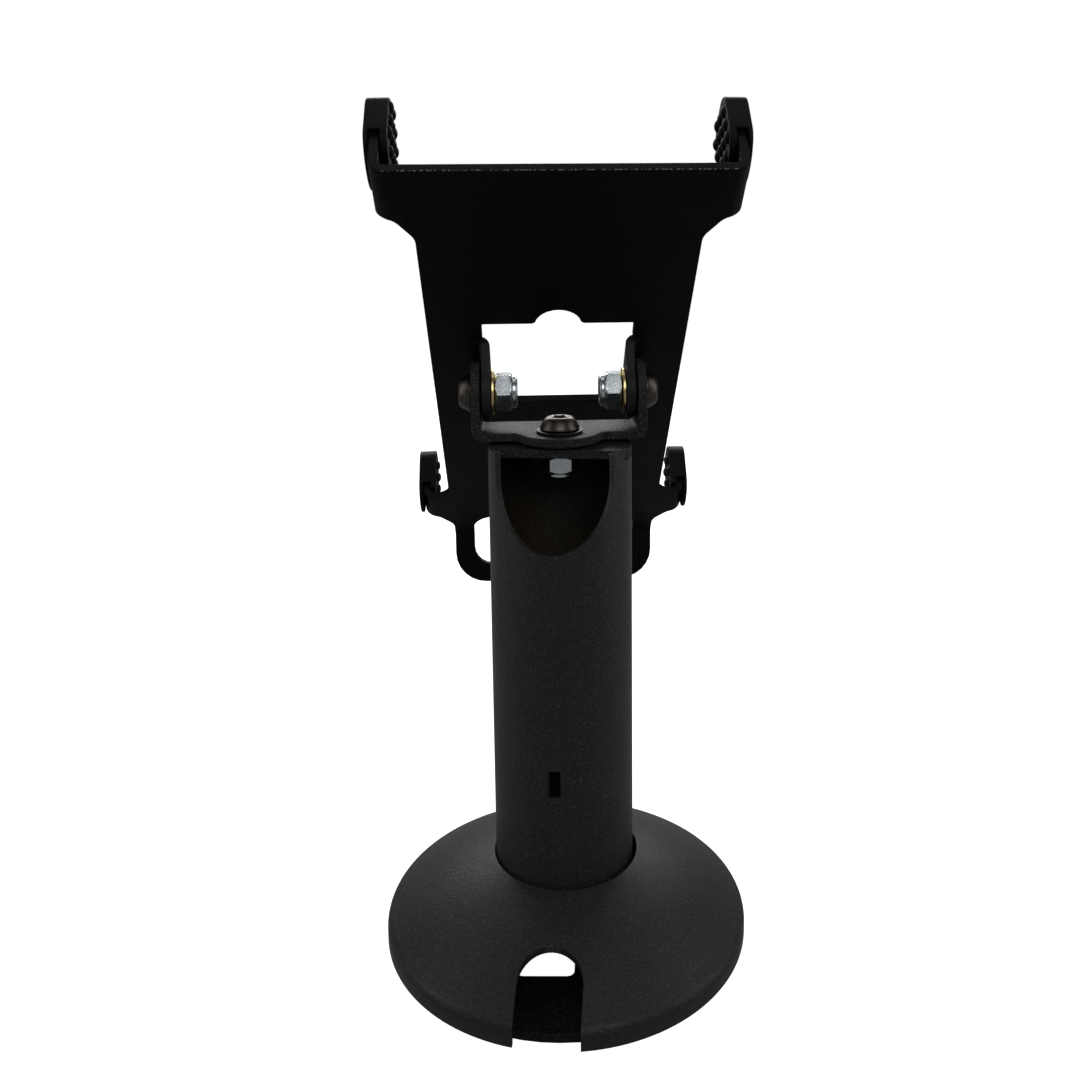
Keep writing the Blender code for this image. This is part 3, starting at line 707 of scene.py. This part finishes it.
def flat_washer(node, direction, finish, edge):
    """A washer with rounded rims."""
    place = outward_axle(node, direction)
    low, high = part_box(node)
    thick = abs((high - low).dot(Vector(direction))) / MM
    outer = max(high - low) / MM / 2
    inner = BORE_R + 0.15
    levels = arc_levels(-edge, outer - edge, edge, 90, 0, 4)
    levels += arc_levels(edge - thick, outer - edge, edge, 0, -90, 4)
    levels += [(-thick, inner + edge), (edge - thick, inner)]
    levels += [(-edge, inner), (0, inner + edge)]
    mesh = placed_mesh(node + "_disc", ringed(levels, 96), place)
    piece(node + "_disc", mesh, finish, node)


def hardware():
    up = (0, 0, 1)
    down = (0, 0, -1)
    button_screw("swivel_screw", up)
    lock_nut("swivel_nut", down)
    flat_washer("swivel_head_washer", up, WASHER_OXIDE, 0.2)
    flat_washer("swivel_friction_washer", up, BLACK_NYLON, 0.1)
    for label, side in (("left", -1), ("right", 1)):
        outward = (side, 0, 0)
        inward = (-side, 0, 0)
        button_screw("tilt_screw_" + label, outward)
        lock_nut("tilt_nut_" + label, inward)
        flat_washer("tilt_washer_" + label, inward, YELLOW_ZINC, 0.2)


# ---------------------------------------------------------------- grips


def inner_face(node, side):
    """The grip's inner wall face: its plane's place, and its outline in that plane."""
    bm = merged(node)
    inward = Vector((-side, 0, 0))
    faces = [f for f in bm.faces if f.normal.dot(inward) > 0.99]
    faces.sort(key=lambda f: f.calc_center_median().dot(inward))
    face = faces[-1]
    normal = face.normal.copy()
    along = (FRONT - normal * FRONT.dot(normal)).normalized()
    across = normal.cross(along)
    place = Matrix((along, across, normal)).transposed().to_4x4()
    place.translation = face.calc_center_median()
    inverse = place.inverted()
    corners = [(inverse @ v.co).to_2d() for v in face.verts]
    bm.free()
    hull = [corners[i] for i in geometry.convex_hull_2d(corners)]
    return place, hull


def inside(point, hull, margin):
    """Whether a point is in a convex outline and at least margin from its sides."""
    signs = []
    for i, a in enumerate(hull):
        b = hull[(i + 1) % len(hull)]
        edge = (b - a).normalized()
        signs.append(edge.cross(point - a))
    return min(signs) > margin or max(signs) < -margin


def nub_centres(hull):
    """A staggered pattern that fits inside the outline, in the face's plane."""
    tip = max(p.x for p in hull) - NUB_MARGIN * MM
    low = min(p.y for p in hull)
    high = max(p.y for p in hull)
    rows = int((high - low - 2 * NUB_MARGIN * MM) / (NUB_ROW * MM))
    first = (low + high - rows * NUB_ROW * MM) / 2
    centres = []
    for row in range(rows + 1):
        y = first + row * NUB_ROW * MM
        shift = NUB_PITCH / 2 * (row % 2)
        for i in range(MOST_NUBS_IN_ROW):
            point = Vector((tip - (shift + i * NUB_PITCH) * MM, y))
            if inside(point, hull, NUB_MARGIN * 0.92 * MM):
                centres.append((point.x, point.y, 0.0))
    return centres


def grips():
    for height in ("upper", "lower"):
        for label, side in (("left", -1), ("right", 1)):
            node = f"{height}_grip_{label}"
            place, hull = inner_face(node, side)
            piece(node + "_sock", softened(node, GRIP_ROUND), RUBBER, node)
            points = bpy.data.meshes.new("nub_points")
            points.from_pydata(nub_centres(hull), [], [])
            values = {"Radius": NUB_R * MM, "Height": NUB_H * MM, "Finish": RUBBER}
            nubs = placed_mesh(node + "_nubs", grown(NUBS, points, values), place)
            piece(node + "_nubs", nubs, RUBBER, node, False)


# ---------------------------------------------------------------- sheet, tube and cover


def cover_profile(outer_r, foot_z, top_z):
    """The cover's wall: up its rim, over the crown, through the hole and back underneath."""
    crown = []
    for i in range(SHOULDER_STEPS + 1):
        a = math.radians(SHOULDER_SWEEP * i / SHOULDER_STEPS)
        r = outer_r - SHOULDER_R * (1 - math.cos(a))
        crown.append((r, foot_z + SHOULDER_UP + SHOULDER_R * math.sin(a)))
    start_r, start_z = crown[-1]
    for i in range(1, CROWN_STEPS + 1):
        t = i / CROWN_STEPS
        rise = t + CROWN_BULGE * math.sin(math.pi * t)
        crown.append((start_r + (COVER_HOLE_R - start_r) * t, start_z + (top_z - start_z) * rise))
    under = []
    for before, here, after in zip(crown, crown[1:], crown[2:]):
        along = (Vector(after) - Vector(before)).normalized()
        under.append((here[0] - along.y * COVER_WALL, here[1] + along.x * COVER_WALL))
    hole = [(COVER_HOLE_R + 0.12, top_z - 0.08), (COVER_HOLE_R, top_z - 0.4)]
    hole.append((COVER_HOLE_R, top_z - COVER_WALL + RIM_EASE))
    hole.append((COVER_HOLE_R + RIM_EASE, top_z - COVER_WALL))
    rim = [(outer_r - COVER_WALL, foot_z + RIM_EASE), (outer_r - COVER_WALL + RIM_EASE, foot_z)]
    rim += [(outer_r - RIM_EASE, foot_z), (outer_r, foot_z + RIM_EASE)]
    return rim + crown[:-1] + hole + under[::-1]


def smoothed_profile(mesh, axis, profile):
    """Gives a turned surface the normals of its profile, blended along each stretch of it."""
    points = [Vector(p) * MM for p in profile]
    count = len(points)
    flat = []
    for i in range(count):
        along = (points[(i + 1) % count] - points[i]).normalized()
        flat.append(Vector((along.y, -along.x)))
    ends = []
    for i in range(count):
        start, end = flat[i - 1], flat[(i + 1) % count]
        start = (start + flat[i]).normalized() if start.dot(flat[i]) > 0.7 else flat[i]
        end = (end + flat[i]).normalized() if end.dot(flat[i]) > 0.7 else flat[i]
        ends.append((start, end))
    normals = [Vector(n.vector) for n in mesh.corner_normals]
    for face in mesh.polygons:
        middle = face.center - axis
        out = middle.to_2d().normalized()
        facing = Vector((face.normal.to_2d().dot(out), face.normal.z))
        here = Vector((middle.to_2d().length, middle.z))
        if facing.length < 0.97:
            for loop in face.loop_indices:
                normals[loop] = face.normal.copy()
            continue
        best = None
        for i in range(count):
            if flat[i].dot(facing) > 0.95:
                near, _ = geometry.intersect_point_line(here, points[i], points[(i + 1) % count])
                away = (near.to_2d() - here).length
                if best is None or away < best[0]:
                    best = (away, i)
        if best is None:
            continue
        a, b = points[best[1]], points[(best[1] + 1) % count]
        start, end = ends[best[1]]
        for loop in face.loop_indices:
            place = mesh.vertices[mesh.loops[loop].vertex_index].co - axis
            t = (Vector((place.to_2d().length, place.z)) - a).dot(b - a) / (b - a).length_squared
            blend = start.lerp(end, min(max(t, 0), 1)).normalized()
            out = place.to_2d().normalized()
            normals[loop] = Vector((out.x * blend.x, out.y * blend.x, blend.y))
    mesh.normals_split_custom_set(normals)


def cover_shell():
    """The cover turned from its wall's profile, with the cable notch cut out at the back."""
    low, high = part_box("base_cover")
    outer_r = (high.x - low.x) / 2
    axis = Vector(((low.x + high.x) / 2, high.y - outer_r, 0))
    profile = cover_profile(outer_r / MM, low.z / MM, high.z / MM)
    turned = ringed([(z, r) for r, z in profile], 144)
    whole = placed_mesh("cover_whole", turned, Matrix.Translation(axis))
    outline = [(NOTCH_HALF_W, -outer_r / MM - NOTCH_REACH)]
    for i in range(NOTCH_STEPS + 1):
        a = math.pi * i / NOTCH_STEPS
        y = NOTCH_ARCH_Y + NOTCH_ARCH_DEPTH * math.sin(a)
        outline.append((NOTCH_HALF_W * math.cos(a), y))
    outline.append((-NOTCH_HALF_W, -outer_r / MM - NOTCH_REACH))
    bm = bmesh.new()
    corners = [bm.verts.new((x * MM, y * MM, -NOTCH_REACH * MM)) for x, y in outline]
    raised = bmesh.ops.extrude_face_region(bm, geom=[bm.faces.new(corners)])["geom"]
    lifted = [v for v in raised if isinstance(v, bmesh.types.BMVert)]
    bmesh.ops.translate(bm, verts=lifted, vec=(0, 0, 0.04))
    bmesh.ops.recalc_face_normals(bm, faces=bm.faces)
    turn = Matrix.Translation(axis) @ Matrix.Rotation(math.radians(COVER_TURN), 4, "Z")
    notch = in_scene("notch", placed_mesh("notch", bm, turn))
    shell = in_scene("shell", whole)
    cut = shell.modifiers.new("cable_notch", "BOOLEAN")
    cut.operation = "DIFFERENCE"
    cut.solver = "EXACT"
    cut.object = notch
    mesh = baked(shell)
    bpy.data.objects.remove(notch, do_unlink=True)
    mesh.shade_smooth()
    smoothed_profile(mesh, axis, profile)
    piece("cover_shell", mesh, COVER_COAT, "base_cover")


def pole_wall():
    """The tube's wall with its cut edges rounded, and its own seam inside."""
    low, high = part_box("pole_tube")
    mesh = softened("pole_tube", TUBE_ROUND)
    smoothed_round_axis(mesh, (low + high) / 2)
    piece("pole_wall", mesh, POLE_COAT, "pole_tube")
    pole_weld_seam()


def pole_weld_seam():
    """The low bead of the tube's own seam, down the inside of its wall."""
    low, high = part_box("pole_tube")
    cap_low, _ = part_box("pole_cap")
    wall_r = (high.x - low.x) / 2 - TUBE_WALL * MM
    out = Vector((math.cos(SEAM_AT), math.sin(SEAM_AT), 0))
    along = Vector((-out.y, out.x, 0))
    bm = bmesh.new()
    rings = []
    for i in range(SEAM_STEPS + 1):
        z = low.z + 1 * MM + (cap_low.z - low.z - 2 * MM) * i / SEAM_STEPS
        wide = (SEAM_HALF_W + 0.08 * math.sin(i * 2.3) + 0.05 * math.sin(i * 5.1)) * MM
        tall = (SEAM_HALF_H + 0.05 * math.sin(i * 1.7 + 1)) * MM
        centre = out * (wall_r + SEAM_SUNK * MM) + Vector((0, 0, z))
        ring = []
        for k in range(SEAM_SIDES):
            a = 2 * math.pi * k / SEAM_SIDES
            point = centre + along * wide * math.cos(a) + out * tall * math.sin(a)
            ring.append(bm.verts.new(point))
        rings.append(ring)
    for one, two in zip(rings, rings[1:]):
        for k in range(SEAM_SIDES):
            n = (k + 1) % SEAM_SIDES
            bm.faces.new((one[k], one[n], two[n], two[k]))
    bm.faces.new(rings[0])
    bm.faces.new(rings[-1])
    bmesh.ops.recalc_face_normals(bm, faces=bm.faces)
    mesh = placed_mesh("pole_inner_seam", bm, Matrix.Identity(4))
    piece("pole_inner_seam", mesh, POLE_COAT, "pole_tube", False)


def coated_parts():
    pole_wall()
    piece("pole_cap_plate", softened("pole_cap", CAP_ROUND), YOKE_COAT, "pole_cap")
    piece("yoke_sheet", softened("swivel_yoke", YOKE_ROUND), YOKE_COAT, "swivel_yoke")
    piece("cradle_sheet", softened("cradle_plate", CRADLE_ROUND), CRADLE_COAT_PAINTED_SHADE, "cradle_plate")
    cover_shell()
    piece("base_disc", softened("base_plate", PLATE_ROUND), PLATE_COAT_PAINTED_SHADE, "base_plate")
    weld = softened("pole_foot_weld", WELD_ROUND)
    piece("foot_weld_bead", weld, WELD_COAT, "pole_foot_weld")


# ---------------------------------------------------------------- room


def camera():
    """The camera, a little above the cradle's top and just left of the pole's axis."""
    yaw, pitch, roll = (math.radians(a) for a in CAMERA_TURN)
    level = math.cos(pitch)
    look = Vector((math.sin(yaw) * level, math.cos(yaw) * level, -math.sin(pitch)))
    flat = Vector((math.cos(yaw), -math.sin(yaw), 0))
    tall = flat.cross(look)
    right = flat * math.cos(roll) + tall * math.sin(roll)
    up = tall * math.cos(roll) - flat * math.sin(roll)
    data = bpy.data.cameras.new("camera")
    data.sensor_width = 36
    data.lens = CAMERA_LENS
    data.shift_x, data.shift_y = CAMERA_SHIFT
    data.clip_start = 0.01
    made = in_scene("camera", data)
    place = Matrix((right, up, -look)).transposed().to_4x4()
    place.translation = Vector(CAMERA_AT)
    made.matrix_world = place
    bpy.context.scene.camera = made


def softbox(name, at, aim, size, power):
    data = bpy.data.lights.new(name, "AREA")
    data.shape = "RECTANGLE"
    data.size, data.size_y = size
    data.energy = power
    made = in_scene(name, data)
    made.location = at
    made.rotation_euler = (Vector(aim) - Vector(at)).to_track_quat("-Z", "Y").to_euler()


def room():
    """A pale floor and a pale surround. Both give the object less light than they show."""
    bm = bmesh.new()
    bmesh.ops.create_grid(bm, x_segments=1, y_segments=1, size=30)
    mesh = bpy.data.meshes.new("floor")
    bm.to_mesh(mesh)
    bm.free()
    made = in_scene("floor", mesh)
    finish, tree, shader = new_material("pale_floor", Roughness=0.9, Specular_IOR_Level=0.1)
    path = add(tree, "ShaderNodeLightPath").outputs
    seen = path["Is Camera Ray"]
    pale = blend_colors(tree, seen, (0.05, 0.05, 0.05, 1), (0.6, 0.6, 0.6, 1))
    tree.links.new(pale, shader.inputs["Base Color"])
    mirrored = blend_colors(tree, path["Is Glossy Ray"], (0, 0, 0, 1), (0.2, 0.2, 0.2, 1))
    glow = blend_colors(tree, seen, mirrored, (1, 1, 1, 1))
    tree.links.new(glow, shader.inputs["Emission Color"])
    shader.inputs["Emission Strength"].default_value = FLOOR_GLOW
    mesh.materials.append(finish)
    world = bpy.data.worlds.new("surround")
    world.use_nodes = True
    bpy.context.scene.world = world
    tree = world.node_tree
    seen = add(tree, "ShaderNodeLightPath").outputs["Is Camera Ray"]
    strength = maths(tree, "MULTIPLY_ADD", seen, 1 - SURROUND_LIGHT, SURROUND_LIGHT)
    tree.links.new(strength, tree.nodes["Background"].inputs["Strength"])
    tree.nodes["Background"].inputs["Color"].default_value = (1, 1, 1, 1)
    middle = (cad_low + cad_high) / 2
    for name, (at, size, power) in SOFTBOXES.items():
        softbox(name, at, middle, size, power)
    bpy.context.scene.view_settings.view_transform = "Standard"


# ---------------------------------------------------------------- build

THREAD = thread_tree()
NUBS = nub_tree()
POLE_COAT = powder_coat(
    "pole_powder_coat",
    (0.007, 0.007, 0.0072),
    (0.013, 0.013, 0.0132),
    0.48,
    painted_glint=0.8,
    # The inner wall is painted a lighter warm brown: painted light from below, inside the tube.
    patches=[(painted_light_inside_tube, (0.02, 0.0145, 0.008))],
)
COVER_COAT = powder_coat(
    "cover_powder_coat", (0.006, 0.006, 0.006), (0.011, 0.011, 0.011), 0.52, depth_mm=0.1
)
YOKE_COAT = powder_coat(
    "yoke_powder_coat",
    (0.006, 0.006, 0.0065),
    (0.015, 0.015, 0.016),
    0.6,
    depth_mm=0.3,
    specular=0.22,
    painted_glint=1.0,
)
# The cradle's coat is painted far darker than the same coat on the yoke and pole: painted shade on the sheet's
# back.
CRADLE_COAT_PAINTED_SHADE = powder_coat(
    "cradle_coat_painted_shade",
    (0.0012, 0.0012, 0.0011),
    (0.0022, 0.0022, 0.002),
    0.5,
    pebble_mm=0.5,
    depth_mm=0.05,
    specular=0.12,
    painted_glint=0.2,
    patches=[(top_edge_wear_and_painted_highlight, (0.3, 0.3, 0.29)), (painted_light_on_tabs, (0.022, 0.022, 0.023))],
)
# The base plate's coat is painted far darker than the same coat elsewhere: painted shade under the cover.
PLATE_COAT_PAINTED_SHADE = powder_coat(
    "plate_coat_painted_shade", (0.0012, 0.0012, 0.0012), (0.0025, 0.0025, 0.0025), 0.6, specular=0.15
)
WELD_COAT = powder_coat(
    "weld_powder_coat", (0.004, 0.004, 0.004), (0.008, 0.008, 0.008), 0.5, pebble_mm=1.2
)
BLACK_OXIDE = plated_steel("black_oxide", (0.05, 0.045, 0.04), (0.1, 0.088, 0.078), 0.36)
WASHER_OXIDE = plated_steel("washer_oxide", (0.02, 0.02, 0.02), (0.04, 0.038, 0.036), 0.45)
BRIGHT_ZINC = plated_steel(
    "bright_zinc_plate", (0.42, 0.47, 0.5), (0.72, 0.77, 0.79), 0.24, spread=0.16, scuff=0.6
)
YELLOW_ZINC = plated_steel("yellow_zinc_plate", (0.66, 0.5, 0.2), (0.85, 0.72, 0.4), 0.3)
WHITE_NYLON = moulded(
    "white_nylon_ring", (0.55, 0.62, 0.66), (0.65, 0.7, 0.73), 0.45, pebble_mm=0.4, depth_mm=0.02
)
BLACK_NYLON = moulded(
    "black_nylon_washer", (0.01, 0.01, 0.01), (0.02, 0.02, 0.02), 0.5, pebble_mm=0.4, depth_mm=0.02
)
RUBBER = moulded(
    "black_rubber_grip",
    (0.0018, 0.0018, 0.002),
    (0.0032, 0.0033, 0.0036),
    0.58,
    pebble_mm=0.35,
    depth_mm=0.03,
    specular=0.13,
)

hardware()
grips()
coated_parts()
camera()
room()
